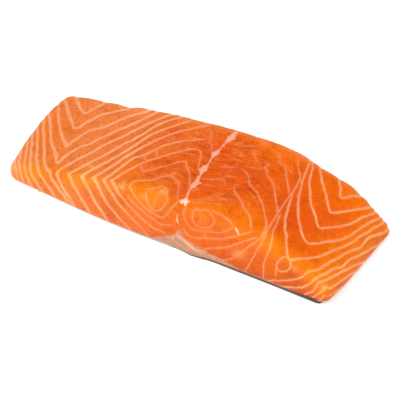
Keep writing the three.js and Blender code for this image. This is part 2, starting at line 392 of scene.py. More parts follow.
# Chevrons of the loin flakes, and the lines that bunch up at its end
loinLines = [
    dict(top=[(60.3, 26.4), (63.6, 22.2), (66.3, 18.4), (69.5, 23.6), (71.6, 26.8)]),
    dict(top=[(50.4, 26.6), (54.8, 20.4), (59.6, 15.2), (64.4, 10), (66.7, 7.9), (70.2, 12.3), (73.6, 18.6),
        (77.3, 26.4)]),
    dict(top=[(46.6, 26.4), (49.3, 20.4), (50.2, 17.1), (54, 10.8), (58, 5.2), (62.8, 0.8), (66.8, -3),
        (70.2, 0.8), (74, 6.7), (76, 11.6), (77.6, 18.2), (79.9, 26)]),
    dict(top=[(45.1, 26.5), (46.5, 20.8), (48.2, 14), (50, 9.5), (52.2, 3.5), (56, -3.4), (58.9, -7.2),
        (61.8, -10.7), (64.1, -12.9), (66.7, -14.4), (69.4, -12.9), (72.8, -7.1), (75.9, -1.8), (77.4, 1.6),
        (79, 8.4), (80.2, 16.6), (82.3, 26.2)]),
    dict(top=[(49, 4.4), (49.8, 0.2), (51.8, -6.4), (53.4, -10.8), (55.8, -15.1), (58.2, -18.1),
        (60.5, -21.6), (62.9, -25.3), (64.8, -26.6), (68.4, -24.3), (72.9, -19), (75, -15), (77.3, -7.6),
        (80.1, 0.8), (81.9, 11.4), (84.2, 25.2)]),
    dict(front=[(57, 3.6), (60.7, 5.2), (65.4, 7.6), (68.7, 9.7), (71.4, 12.1), (73.3, 14.4), (74.6, 16)],
        top=[(75.6, -24.6), (77.5, -22), (78.6, -17.2), (79.9, -11.2), (81.2, -5.6), (82.4, -0.3), (84, 6)],
        end=[(11.3, 10.5), (17, 9), (25, 5.2)]),
    dict(front=[(65.5, 3.2), (69.2, 4.4), (72, 6.1), (74.8, 8.7), (76.8, 11), (78, 13.2)], top=[(78.9, -25),
        (80.6, -20.8), (82.1, -14.9), (83.6, -10.5)], end=[(-5.2, 11.3), (3, 8.5), (12.9, 5), (20.3, 2.4)]),
    dict(front=[(75, 3.3), (76.9, 5.1), (78.4, 7.2), (79.7, 10.2), (80.4, 12.6)], top=[(81.4, -25),
        (83, -21.4)], end=[(-15, 11.3), (-10.2, 9.9), (-1.9, 6.5), (6.3, 2.3)]),
    dict(front=[(79.6, 4.4), (81.4, 6.5), (82.8, 9), (84, 10.8)], end=[(-22.6, 9.3), (-14.3, 7.1),
        (-6.9, 4.8), (-0.5, 1.8)]),
    dict(front=[(82.4, 3.6), (83.6, 5.5), (84.4, 6.6)], end=[(-24.2, 5.2), (-18, 3.4), (-12.5, 2.2)],
        width=0.8, strength=0.8),
    dict(front=[(64.4, 22.2), (62.4, 20.6), (60.3, 18.8), (59, 16.2), (58.5, 13.2), (59.5, 11.4),
        (61.8, 11.5), (64.2, 13.2), (65.4, 15), (65.8, 17.2), (65.2, 19.6), (64.4, 22)], width=0.9),
    dict(front=[(58.6, 13), (58.2, 10.6), (58, 7.8)], strength=0.7),
]

# The back cut face shows the rings of the front one, first those that miss the top
backLines = [dict(back=line["front"]) for line in sorted(ringLines, key=lambda line: "top" in line)
             if "front" in line]

# The septum with its knots and spurs, and the short tendons of the front, with a width to each point
septumStrands = [
    dict(top=[(6.1, 26.9, 1.8), (6, 25, 1.9), (6, 22.3, 3.2), (5.5, 19.5, 1.8), (5.2, 17.5, 0.7),
        (5.2, 13, 0.7), (4.9, 11, 2.6), (4.8, 9.2, 3.2), (5, 6.2, 0.9), (5.4, 3.5, 0.7), (5.6, 1.2, 0.9),
        (5.5, -1.5, 3.6), (5.7, -3.4, 2.6), (6.1, -5.2, 1.1), (6.3, -6.8, 1), (6.6, -9.4, 1.7),
        (7.2, -11.3, 2), (7.4, -13.2, 3.2), (7.2, -15, 2.5), (7.1, -16.5, 1), (7.3, -18.3, 0.8),
        (8.2, -21.2, 0.9), (9, -23.9, 1.3), (9.3, -24.7, 2.4), (9.8, -25.8, 2.1), (10.1, -26.5, 1.2)]),
    dict(top=[(5.4, -2.2, 1.6), (4.5, -2.9, 1.2), (3.6, -3.4, 0.6)]),
    dict(top=[(7.6, -12.9, 1.4), (8.5, -11.9, 0.8), (9.4, -11, 0.5)]),
    dict(top=[(9.1, -24.4, 1.4), (8, -25.2, 2), (7.3, -26, 1.3)]),
    dict(top=[(9.2, -24.8, 1.4), (10.4, -24.6, 1.4), (10.9, -24.4, 0.8)]),
    dict(front=[(7.4, 22.2, 0.2), (6.6, 19.9, 0.4), (6.9, 17.6, 0.9), (7.8, 16.4, 0.4)]),
    dict(front=[(37.3, 27.5, 0.5), (38.3, 25.9, 1.2), (39.2, 24.3, 0.5)]),
]

# White ends of the septum and tendons, as (x, y, z, reach, share)
whiteSpots = [(10.4, -25.6, 28.6, 2.4, 1), (8, -31, 17.4, 2.4, 1), (39.6, -29, 26.2, 2.2, 1)]
# Soft pale patches of the rings, the corners and the foot, as (x, y, z, reach, share); the two at the front
# corner of the loin end are painted glints
paleSpots = [
    (-2.6, -23.4, 27.4, 2.2, 0.5), (-10.3, -29, 23.6, 1.8, 0.6), (-22.4, -26.4, 23.2, 2, 0.4),
    (69.4, -29, 16.6, 1.7, 0.9), (67, -29, 21.4, 1.3, 0.6), (-82.4, -25.4, 4.5, 3, 0.5),
    (84.6, -27, 11.6, 1.5, 0.9), (80.6, -27.4, 14.6, 1.1, 0.8), (22.8, -30, 15.8, 1.3, 0.5),
    (40.6, -30, 12.4, 3, 0.5)]

# The fat along the portion, as (x, width, strength)
fatStations = [
    (-88, 1.1, 0.85), (-76, 1.3, 0.88), (-60, 1.55, 1), (-45, 1.75, 1.12), (-32, 1.6, 1.08),
    (-14, 0.85, 0.68), (6, 0.65, 0.54), (30, 0.65, 0.52), (44, 0.7, 0.7), (56, 1.05, 0.94),
    (88, 1.15, 0.84)]
# How far drawn points are moved on each face, as (first coordinate, its move, move of the second)
shiftStations = dict(
    top=[(-30, 0.8, 0.4), (-10, 1, 0.3), (22, 1, 0.3), (35, 0.8, 0.5), (52, 1.35, 0.25)],
    front=[(10, 1.1, 0.5), (30, 0.9, 0), (45, 1, -0.1), (56, 1.4, 0.1), (63, 1.4, 0.3), (76, 0.8, 0.4)],
    end=[(0, 0, 0)], back=[(0, 1, 0)])
# How far lines go aside for each millimetre down the back cut face, as (x, slant)
backSlants = [(-75, 0.88), (-50, 0.9), (-30, 1.2), (42, -0.6), (50, -0.4), (60, -1), (75, -1.2), (84, -0.7)]
# How lines are drawn, each group as (lines, width, strength, whether they turn sharply at edges)
fatPlan = dict(
    layers=3, step=0.4, wobble=0.19, wobbleLength=4, taper=2.5, endWidth=0.35, unevenWidth=0.15,
    unevenStrength=0.15, thinnest=0.15, runOn=30, lookBack=8, shortest=0.1, footStop=1.6, backStop=2.5,
    frontThinning=0.34, thinFrom=[("x", 30, 50), ("y", -25, -28)],
    frontFade=0.2, fadeFrom=[("y", -24, -29), ("x", 40, -30)],
    groups=[(bellyLines, 1, 1, True), (ringLines, 0.9, 0.85, False), (smallLines, 0.9, 0.8, False),
            (wispLines, 1.1, 0.3, False), (seamLines, 0.66, 1, False), (loinLines, 1, 1, True),
            (backLines, 1.2, 0.9, False)])
# About where the faces and edges lie, and where the rays start that find them
facePlan = dict(
    topRay=60, endRay=120, frontRay=-60, front=-29, frontLimit=-25, back=31, backEdge=28.5, edgeReach=4.2,
    footReach=6.5, bellyEnd=-82.5, loinEnd=84.5, loinCorner=-24, wedge=(0, 30), rings=(-22, 40))


# Catmull-Rom curve through the points
def curveThrough(points, step):
    points = np.asarray(points, float)
    ends = [2 * points[0] - points[1], 2 * points[-1] - points[-2]]
    points = np.vstack([ends[0], points, ends[1]])
    found = []
    for before, start, end, after in zip(points, points[1:], points[2:], points[3:]):
        count = max(2, int(np.linalg.norm((end - start)[:3]) / step))
        t = np.arange(count)[:, None] / count
        found.append(0.5 * (2 * start + (end - before) * t + (2 * before - 5 * start + 4 * end - after) * t**2
                            + (3 * start - before - 3 * end + after) * t**3))
    return np.vstack([*found, points[-2][None]])


# The spot of a face that a line is drawn through, or None beside the portion
def layOn(tree, face, first, second):
    plan = facePlan
    at, aside, up = zip(*shiftStations[face])
    first, second = first + np.interp(first, at, aside), second + np.interp(first, at, up)
    if face == "top":
        return tree.ray_cast((first, second, plan["topRay"]), (0, 0, -1))[0]
    if face == "end":
        return tree.ray_cast((plan["endRay"], first, second), (-1, 0, 0))[0]
    if face == "back":
        return tree.find_nearest((first, plan["back"], second))[0]
    spot = tree.ray_cast((first, plan["frontRay"], second), (0, 1, 0))[0]
    if spot is None or spot.y > plan["frontLimit"]:
        spot = tree.find_nearest((first, plan["front"], second))[0]
    return spot


def pressOn(tree, points):
    return np.array([tree.find_nearest(point)[0] for point in points])


# The points that carry a line on over an edge, straight ahead along the surface
def runOn(tree, path):
    plan = fatPlan
    back = plan["lookBack"]
    spots = list(path[-back:])
    for _ in range(int(plan["runOn"] / plan["step"])):
        ahead = spots[-1] - spots[-back]
        ahead *= plan["step"] / np.linalg.norm(ahead)
        spot = np.array(tree.find_nearest(spots[-1] + ahead)[0])
        if spot[2] < plan["footStop"] or np.linalg.norm(spot - spots[-1]) < plan["shortest"]:
            break
        spots.append(spot)
    return np.array(spots[back:]).reshape(-1, 3)


# The points that carry a line down the back cut face. Lines that end at the rings stop at the edge.
def fallDown(tree, path):
    start = path[-1]
    fromX, toX = facePlan["rings"]
    if fromX < start[0] < toX:
        return np.zeros((0, 3))
    slant = np.interp(start[0], *zip(*backSlants))
    heights = np.arange(start[2], fatPlan["backStop"], -fatPlan["step"])
    spots = pressOn(tree, [(start[0] + slant * (start[2] - z), facePlan["back"], z) for z in heights])
    bridge = start + (spots[0] - start) * np.linspace(0.1, 0.9, 7)[:, None]
    return np.vstack([bridge, spots])


def nearsBack(spot):
    return spot[1] > facePlan["backEdge"] - facePlan["edgeReach"]


# Whether a line ends so near an edge of its face that it goes on over that edge
def nearsEdge(spot):
    plan = facePlan
    fromX, toX = plan["wedge"]
    nearsFoot = spot[1] < plan["frontLimit"] and spot[2] < plan["footReach"] and not fromX < spot[0] < toX
    nearsEnd = spot[0] < plan["bellyEnd"] or (spot[0] > plan["loinEnd"] and spot[1] > plan["loinCorner"])
    return nearsFoot or nearsEnd or nearsBack(spot)


# The points that carry a line on over the edge that its last point is near
def carryOn(tree, path):
    return fallDown(tree, path) if nearsBack(path[-1]) else runOn(tree, path)


# The curve of a line over its faces, and whether its first and last points missed the portion
def traceLine(tree, line, sharp):
    runs = [[layOn(tree, face, *point) for point in line[face]] for face in line if face in shiftStations]
    missed = runs[0][0] is None, runs[-1][-1] is None
    runs = [[spot for spot in run if spot is not None] for run in runs]
    if "end" in line:
        runs[-2:] = [runs[-2] + runs[-1]]
    if len(runs) == 1 or not sharp:
        return curveThrough(sum(runs, []), fatPlan["step"]), missed
    if "top" == list(line)[0]:
        runs[1].insert(0, runs[0][-1])
    else:
        runs[0].append(runs[1][0])
    first, second = (curveThrough(run, fatPlan["step"]) for run in runs)
    return np.vstack([first[:-1], second]), missed


# A line as rows of x, y, z, half width, strength and length so far
def layLine(tree, line, seed, width, strength, sharp):
    plan = fatPlan
    path, missed = traceLine(tree, line, sharp)
    onBack = "back" in line
    if missed[0] or nearsEdge(path[0]) and not onBack:
        path = np.vstack([carryOn(tree, path[::-1])[::-1], path])
    if missed[1] or nearsEdge(path[-1]) and not onBack:
        path = np.vstack([path, carryOn(tree, path)])
    wander = [unevenness(path, plan["wobbleLength"], seed + axis, 5) for axis in range(3)]
    path = pressOn(tree, path + plan["wobble"] * np.array(wander).T)
    along = np.concatenate([[0], np.cumsum(np.linalg.norm(np.diff(path, axis=0), axis=1))])
    toEnd = np.minimum(along, along[-1] - along)
    x = path[:, 0]
    stations, widths, strengths = zip(*fatStations)
    width *= np.interp(x, stations, widths) * line.get("width", 1)
    width *= 1 - plan["frontThinning"] * within(path, plan["thinFrom"])
    width *= 1 + plan["unevenWidth"] * unevenness(path, 7, seed + 5, 5)
    width *= plan["endWidth"] + (1 - plan["endWidth"]) * smoothStep(toEnd, -0.5, plan["taper"])
    strength *= np.interp(x, stations, strengths) * line.get("strength", 1)
    strength *= 1 + plan["unevenStrength"] * unevenness(path, 12, seed + 9, 5)
    strength *= 1 - plan["frontFade"] * within(path, plan["fadeFrom"])
    return np.column_stack([path, width / 2, strength, along + 37.0 * seed])


def layStrand(tree, strand, seed):
    rows = [[*layOn(tree, face, first, second), width / 2]
            for face in strand for first, second, width in strand[face]]
    path = curveThrough(rows, fatPlan["step"])
    spots = path[:, :3]
    width = path[:, 3] * (1 + fatPlan["unevenWidth"] * unevenness(spots, 3, seed, 5))
    width = np.maximum(width, fatPlan["thinnest"])
    return np.column_stack([pressOn(tree, spots), width, np.ones(len(path)), np.zeros(len(path))])


# Shares lines out over layers so that those of a layer lie well apart
def shareOut(lines, count):
    layers = [[] for _ in range(count)]
    for line in lines:
        spots = line[::3, None, :3]
        gaps = [min([np.linalg.norm(spots - other[None, ::3, :3], axis=2).min() for other in layer],
                    default=99) for layer in layers]
        layers[int(np.argmax(gaps))].append(line)
    return layers


# Every line of the fat and the septum, by layer of the mesh
def layFat(tree):
    lines = [(line, *manner) for group, *manner in fatPlan["groups"] for line in group]
    laid = [layLine(tree, line, 20 * number, *manner) for number, (line, *manner) in enumerate(lines)]
    layers = {f"fat{number}": layer for number, layer in enumerate(shareOut(laid, fatPlan["layers"]))}
    layers["core"] = [layStrand(tree, strand, 70 + number) for number, strand in enumerate(septumStrands)]
    return layers


# For each point the way to its nearest line, and what the line is like there
def measureLines(points, lines):
    rows = np.vstack(lines)
    owner = np.concatenate([np.full(len(line), number) for number, line in enumerate(lines)])
    finder = KDTree(len(rows))
    for number, row in enumerate(rows):
        finder.insert(row[:3], number)
    finder.balance()
    nearest = np.array([finder.find(point)[1] for point in points])
    start = rows[nearest, :3]
    way, values = start - points, rows[nearest, 3:]
    distance = np.linalg.norm(way, axis=1)
    for side in (-1, 1):
        other = np.clip(nearest + side, 0, len(rows) - 1)
        leg = rows[other, :3] - start
        length = np.maximum((leg**2).sum(1), 1e-9)
        share = np.clip(((points - start) * leg).sum(1) / length, 0, 1)
        share[(owner[other] != owner[nearest]) | (other == nearest)] = 0
        share = share[:, None]
        reach = start + leg * share - points
        closer = np.linalg.norm(reach, axis=1) < distance
        way[closer] = reach[closer]
        distance = np.where(closer, np.linalg.norm(reach, axis=1), distance)
        mixed = rows[nearest, 3:] * (1 - share) + rows[other, 3:] * share
        values[closer] = mixed[closer]
    return way, distance, values


# Stores what the nearest lines are like, and returns how far away the nearest fat is
def storeFat(mesh, points, layers):
    found = {prefix: measureLines(points, lines) for prefix, lines in layers.items()}
    for prefix, (way, distance, values) in found.items():
        storeValues(mesh, prefix + "Way", way)
        storeValues(mesh, prefix + "Reach", distance)
        storeValues(mesh, prefix + "Width", values[:, 0])
        storeValues(mesh, prefix + "Strength", values[:, 1])
    fat = [found[prefix] for prefix in found if prefix != "core"]
    reaches = np.array([distance for _, distance, _ in fat])
    alongs = np.array([values[:, 2] for _, _, values in fat])
    storeValues(mesh, "grainAlong", np.take_along_axis(alongs, reaches.argmin(0)[None], 0)[0])
    storeValues(mesh, "grainReach", reaches.min(0))
    return reaches.min(0)


# Painted light that shines through along the crease, the top edge of the front cut face, with spots as (x,
# reach); the loin end face is painted lighter too
glowPlan = dict(
    share=0.35, dip=0.2, dipX=22, dipReach=14, reach=4, edge=-26.5, down=1, lineY=-23,
    places=(-84, 85, 4.0), spots=[(-70, 9), (-46, 12), (-8, 9), (58, 7), (78, 10)], spotShare=0.6,
    spotDepth=0.6, loin=0.4, loinFrom=[("x", 79, 87)])


def creaseGlow(points, tree):
    plan = glowPlan
    x, y, z = points.T
    places = np.arange(*plan["places"])
    heights = [layOn(tree, "top", place, plan["lineY"])[2] for place in places]
    below = np.interp(x, places, heights) - plan["down"] - z
    toCrease = np.maximum(y - plan["edge"], 0) + np.maximum(below, 0)
    glow = plan["share"] - plan["dip"] * hump(x - plan["dipX"], plan["dipReach"])
    glow *= hump(toCrease, plan["reach"])
    for middle, reach in plan["spots"]:
        glow += plan["spotShare"] * hump(x - middle, reach) * hump(toCrease, plan["spotDepth"] * reach)
    return np.clip(glow + plan["loin"] * within(points, plan["loinFrom"]), 0, 1)


# Middles of the rings that the fibres of the top curve round, and the x between them
ringMiddles = dict(belly=(-6, -26), loin=(21, -32), between=6)


# How far along and how far out a point lies on the arcs round its ring
def followArcs(x, y):
    onLoin = x > ringMiddles["between"]
    aside = x - np.where(onLoin, ringMiddles["loin"][0], ringMiddles["belly"][0])
    behind = y - np.where(onLoin, ringMiddles["loin"][1], ringMiddles["belly"][1])
    out = np.hypot(aside, behind)
    return out * np.arctan2(aside, behind), out


# Deeper and brighter patches of the top, as (x, y, reach along x, reach along y, share)
deepSpots = [
    (-80, 10, 6, 12, 0.2), (-12, -9, 15, 9, 0.5), (-3, 13, 9, 9, 0.45), (24, 1, 17, 12, 0.6),
    (7, -20, 7, 8, 0.8), (9, -8, 5, 6, 0.5), (-23, 18, 9, 4, 0.5), (-21, 8, 6, 5, 0.4), (49, 4, 5, 16, 0.6),
    (59, -8, 9, 13, 0.7), (72, 3, 7, 9, 0.35), (10, 12, 8, 10, 0.4)]
# Of the brighter patches, those along the crease and at the loin end are painted light
brightSpots = [
    (30, 24, 18, 5, 0.5), (41, -19, 6, 8, 0.8), (23, -23, 13, 4, 0.9), (56, -25, 9, 5, 0.6),
    (82, -8, 8, 22, 0.9), (74, 22, 12, 6, 0.6), (-60, -24, 15, 4, 0.7), (-12, -24, 12, 5, 0.8),
    (-78, -6, 9, 16, 1), (-26, -16, 7, 6, 0.8)]


def nearPatches(x, y, patches):
    total = sum(share * hump(x - middleX, reachX) * hump(y - middleY, reachY)
                for middleX, middleY, reachX, reachY, share in patches)
    return np.clip(total, 0, 1)


def nearSpots(points, spots):
    return [share * hump(np.linalg.norm(points - spot, axis=1), reach) for *spot, reach, share in spots]


# The silvery wedge at the foot. Each side falls away from its tip as (height, fall, tip, tip length).
wedgePlan = dict(
    tipX=9.5, belly=(9.9, 0.52, 5, 1.4), loin=(8.7, 0.19, 6, 2), uneven=0.35, edge=(-0.25, 0.4),
    within=[("x", -9, -5), ("x", 50, 38)], cutFaces=20, streakDown=2.2, streakReach=1.2,
    streakWithin=[("x", 9, 13), ("x", 24, 17)], bulge=1.2, bulgeX=17, bulgeReach=5,
    bulgeWithin=[("y", -20, -29)])


def wedgeHeight(x):
    away = np.abs(x - wedgePlan["tipX"])
    sides = [height - fall * away + tip * np.exp(-away / tipLength)
             for height, fall, tip, tipLength in (wedgePlan["belly"], wedgePlan["loin"])]
    return np.where(x < wedgePlan["tipX"], *sides)


# Where the wedge lies, and the painted highlight streak along its loin side
def wedgeShares(points, wall):
    plan = wedgePlan
    x, y, z = points.T
    below = wedgeHeight(x) - z + plan["uneven"] * unevenness(points, 7, 8)
    wedge = smoothStep(below, *plan["edge"]) * wall * within(points, plan["within"])
    wedge *= np.abs(y) > plan["cutFaces"]
    streak = hump(below - plan["streakDown"], plan["streakReach"]) * within(points, plan["streakWithin"])
    return wedge, wedge * streak


# How far the foot of the front cut face stands out under the wedge
def footBulge(points):
    plan = wedgePlan
    bulge = plan["bulge"] * hump(points[:, 0] - plan["bulgeX"], plan["bulgeReach"])
    return bulge * within(points, plan["bulgeWithin"])


# How strong shades of the flesh are, and the steps over which they come and go
shadePlan = dict(
    wall=(0.8, 0.35), belly=(22, -62), wander=9, wanderLength=26, middle=[("x", -26, -8), ("x", 50, 38)],
    middleGlow=0.7, rimBack=[("y", 23.5, 28.5)], rimBelly=[("x", -80, -88)], bellyRim=0.5, cutLoss=0.8,
    cutEnd=[("x", 72, 84)], dullShade=[("z", 10, 2), ("x", -50, -10)], dark=[("z", 26, 1.5), ("x", 5, 45)],
    darkLoss=0.7, darkEnd=[("x", 70, 84)], rimUp=(2.9, 2.0), wedgeRim=3, leastRim=0.25,
    rimGrows=[("x", 20, 50)], edgeUp=(2.0, 1.6), thick=1.5, thickens=[("x", 58, 80)],
    edge=[("x", -4, 22), ("x", 83, 80)])


# Painted shade that makes the cut faces duller and darker towards their foot, a pale rim and the dark edge of
# the skin at the foot of the cut faces
def footShares(points, wall, wedge):
    plan, z = shadePlan, points[:, 2]
    dark = within(points, plan["dark"]) * (1 - plan["darkLoss"] * within(points, plan["darkEnd"]))
    top, foot = plan["rimUp"]
    least = plan["leastRim"]
    rim = np.maximum(least + (1 - least) * within(points, plan["rimGrows"]), (1 - least) * wedge)
    rim *= smoothStep(z, top + plan["wedgeRim"] * wedge, foot)
    top, foot = plan["edgeUp"]
    thick = plan["thick"] * within(points, plan["thickens"])
    edge = smoothStep(z, top + thick, foot + thick / 2) * within(points, plan["edge"])
    return dict(dullShade=within(points, plan["dullShade"]) * wall, foot=dark * wall, rim=rim, edge=edge)


# How much of each shade every point has
def shadeFlesh(points, normals, tree):
    plan = shadePlan
    x, y, _ = points.T
    wall = smoothStep(normals[:, 2], *plan["wall"])
    wander = plan["wander"] * unevenness(points, plan["wanderLength"], 3)
    glow = creaseGlow(points, tree)
    wedge, streak = wedgeShares(points, wall)
    middle = within(points, plan["middle"]) * (1 - wall) * (1 - plan["middleGlow"] * glow)
    arcAlong, arcOut = followArcs(x, y)
    rimBack, rimBelly = within(points, plan["rimBack"]), within(points, plan["rimBelly"])
    return dict(
        belly=smoothStep(x + wander, *plan["belly"]), glow=glow, wedge=wedge, streak=streak, middle=middle,
        cut=wall * (1 - plan["cutLoss"] * within(points, plan["cutEnd"])), arcAlong=arcAlong, arcOut=arcOut,
        # Painted light: a paler rim along the back edge and, weaker, at the belly end
        litRim=np.maximum(rimBack, plan["bellyRim"] * rimBelly),
        white=np.max(nearSpots(points, whiteSpots), 0), pale=np.clip(sum(nearSpots(points, paleSpots)), 0, 1),
        deep=nearPatches(x, y, deepSpots) * (1 - wall), bright=nearPatches(x, y, brightSpots),
        **footShares(points, wall, wedge))


fleshPlan = dict(
    refine=2, fatGroove=0.16, grooveWidth=0.8, flakeSwell=0.22, flakeWidth=3.2, loinSwell=0.35,
    loin=[("x", 55, 80)], unevenness=0.22, unevennessLength=21, relief=[("z", 1.5, 5)], sink=0.28,
    sinks=[("z", 4, 1.2)], bulges=[("z", 5, 1)],
    lift=1.9, lifts=[("x", 79, 87), ("z", 9, 1), ("y", -10, -26)])


# Grooves along the fat, flakes swollen between them, and the shape of the foot
def shapeFlesh(points, normals, toFat):
    plan = fleshPlan
    swell = plan["flakeSwell"] + plan["loinSwell"] * within(points, plan["loin"])
    rise = swell * (0.5 - hump(toFat, plan["flakeWidth"]))
    rise -= plan["fatGroove"] * hump(toFat, plan["grooveWidth"])
    rise += plan["unevenness"] * unevenness(points, plan["unevennessLength"], 5)
    points += normals * (rise * within(points, plan["relief"]))[:, None]
    points[:, 2] -= plan["sink"] * within(points, plan["sinks"])
    points[:, 1] -= footBulge(points) * within(points, plan["bulges"])
    points[:, 2] += plan["lift"] * within(points, plan["lifts"])


def makeFlesh():
    piece = addObject("flesh_cut", copyNode("flesh", "flesh_cut"))
    refine = piece.modifiers.new("refine", "SUBSURF")
    refine.levels = refine.render_levels = fleshPlan["refine"]
    mesh = settle(piece)
    points = readVectors(mesh.vertices, "co") / mm
    normals = readVectors(mesh.vertex_normals, "vector")
    tree = BVHTree.FromPolygons(points.tolist(), [list(face.vertices) for face in mesh.polygons])
    print("flesh refined", len(points))
    layers = layFat(tree)
    print("fat lines laid", [len(layer) for layer in layers.values()])
    for name, share in shadeFlesh(points, normals, tree).items():
        storeValues(mesh, name, share)
    shapeFlesh(points, normals, storeFat(mesh, points, layers))
    movePoints(mesh, points)
    return piece


fleshColours = {name: fromHex(code) for name, code in dict(
    belly="f9863f", loin="f06402", deep="e65214", bright="ff7c02", glow="ff9212", cut="e26d2c",
    cutBelly="e4783d", dullShade="de7042", litRim="fca060", light="ff9658", lightLoin="ff8a18", wedge="daa080",
    wedgeDark="be8a6c", streak="f6ccac", rim="be8e74", edge="543428", fat="ffb284", fatCreaseGlow="ffbc76",
    fatLoin="ffae78", pale="ffbc80", core="fdac8e", corePale="ffceba", white="ffe8ce").items()}
# These two darken by shares of red, green and blue; foot is painted shade towards the foot of the cut faces
fleshColours.update(foot=(0.8, 0.7, 0.62, 1), shade=(0.74, 0.55, 0.36, 1))
fleshLook = dict(
    roughness=0.4, spacing=0.4, fatShare=0.92, coreShare=0.95, cutShare=0.75, haloShare=0.12, haloWidth=1.6,
    middlePale=0.55)
fleshShine = dict(
    Subsurface_Weight=0.3, Subsurface_Radius=(1.0, 0.34, 0.12), Subsurface_Scale=1.2 * mm,
    Specular_IOR_Level=0.07, IOR=1.38, Coat_Weight=0.01, Coat_Roughness=0.2)
# Shades laid over the base one after another, each as (attribute and colour, share, way of mixing)
washes = [
    ("deep", 1.0), ("bright", 1.0), ("glow", 0.8), ("dullShade", 0.6), ("foot", 1.0, "MULTIPLY"),
    ("litRim", 0.55)]


# How much of a line shows: full inside its width, with soft frayed sides
def lineShare(tree, prefix, fray):
    way = attribute(tree, prefix + "Way", "Vector")
    length = addNode("ShaderNodeVectorMath", (way,), operation="LENGTH")
    reach = calc("SUBTRACT", attribute(tree, prefix + "Reach"), fleshLook["spacing"])
    distance = calc("ADD", calc("MAXIMUM", length.outputs["Value"], reach), fray)
    width = attribute(tree, prefix + "Width")
    softness = calc("MULTIPLY_ADD", width, 0.35, 0.14)
    inner, outer = calc("SUBTRACT", width, softness), calc("ADD", width, softness)
    return times(ramp(distance, inner, outer, 1, 0), attribute(tree, prefix + "Strength"))


# Two attributes, each scaled, as the coordinates of a pattern
def pairUp(tree, first, firstScale, second, secondScale):
    values = times(attribute(tree, first), firstScale), times(attribute(tree, second), secondScale)
    return addNode("ShaderNodeCombineXYZ", values).outputs[0]


# The sum of patterns, each as (pattern, start, end, most, where), up to the limit
def sumPatterns(patterns, limit):
    total = 0.0
    for pattern, low, high, most, where in patterns:
        total = calc("MULTIPLY_ADD", ramp(pattern, low, high, 0, most), where, total)
    return calc("MINIMUM", total, limit)


# How much darker and how much paler the muscle is: soft patches, fibres across the flakes, arcs over the
# middle, and a fine weave that is strongest at the belly
def fibreShares(tree, grain, belly):
    middle = attribute(tree, "middle")
    fine = calc("MULTIPLY_ADD", belly, 0.6, 0.4)
    mottle = noise(place(tree), 0.12, 4, 0.6)
    arcs = noise(pairUp(tree, "arcAlong", 0.12, "arcOut", 0.5), 1.0, 4, 0.62, 1.0)
    weave = noise(place(tree, (2.0, 0.5, 0.8), (0, 0, -29)), 1.0, 2, 0.6)
    speckle = noise(place(tree), 1.5, 3, 0.7)
    shades = [(mottle, 0.42, 0.72, 0.5, 1.0), (grain, 0.48, 0.7, 0.4, 1.0), (arcs, 0.5, 0.32, 0.55, middle),
              (weave, 0.48, 0.68, 0.5, fine), (speckle, 0.5, 0.75, 0.6, fine)]
    lights = [(grain, 0.5, 0.3, 0.3, 1.0), (arcs, 0.53, 0.7, 0.6, middle), (weave, 0.5, 0.32, 0.4, fine)]
    return sumPatterns(shades, 1.0), sumPatterns(lights, 0.7)


# The base with a colour laid over it as far as an attribute says
def wash(base, name, colour, share=1.0, mode="MIX"):
    return tint(times(attribute(base.id_data, name), share), base, colour, mode)


def muscleColour(tree, grain, belly):
    colours, look = fleshColours, fleshLook
    base = tint(belly, colours["loin"], colours["belly"])
    base = wash(base, "cut", tint(belly, colours["cut"], colours["cutBelly"]), look["cutShare"])
    for name, *manner in washes:
        base = wash(base, name, colours[name], *manner)
    shade, light = fibreShares(tree, grain, belly)
    base = tint(shade, base, colours["shade"], "MULTIPLY")
    light = times(light, calc("MULTIPLY_ADD", attribute(tree, "bright"), -0.6, 1.0))
    paler = calc("MAXIMUM", belly, times(attribute(tree, "middle"), look["middlePale"]))
    base = tint(light, base, tint(paler, colours["lightLoin"], colours["light"]))
    halo = ramp(attribute(tree, "grainReach"), 0, look["haloWidth"], look["haloShare"], 0)
    return tint(halo, base, colours["fat"])


def wedgeColour(tree):
    colours = fleshColours
    streaks = noise(place(tree, (6, 6, 2.2), (0, 30, 0)), 1.0, 4, 0.65, 1.5)
    colour = tint(ramp(streaks, 0.35, 0.65), colours["wedgeDark"], colours["wedge"])
    # Pale streaks of the wedge, then a painted highlight along its loin side
    colour = tint(ramp(streaks, 0.52, 0.75, 0, 0.45), colour, colours["streak"])
    return wash(colour, "streak", colours["streak"], ramp(streaks, 0.35, 0.6, 0.2, 0.9))


# How much of the fat shows, with frayed sides and weaker patches
def fatShare(tree, fray):
    fat = 0.0
    for number in range(fatPlan["layers"]):
        fat = calc("MAXIMUM", fat, lineShare(tree, f"fat{number}", fray))
    patches = noise(place(tree), 0.28, 3, 0.6)
    return times(fat, ramp(patches, 0.3, 0.6, 0.62, 1))


# The base with the septum and its white ends over it
def addCore(tree, base, fray):
    colours = fleshColours
    knots = noise(place(tree), 0.7, 3, 0.6)
    core = lineShare(tree, "core", calc("ADD", fray, calc("MULTIPLY_ADD", knots, 1.6, -0.8)))
    colour = tint(ramp(knots, 0.45, 0.65, 0, 0.5), colours["core"], colours["corePale"])
    colour = wash(colour, "white", colours["white"])
    return tint(times(core, fleshLook["coreShare"]), base, colour)


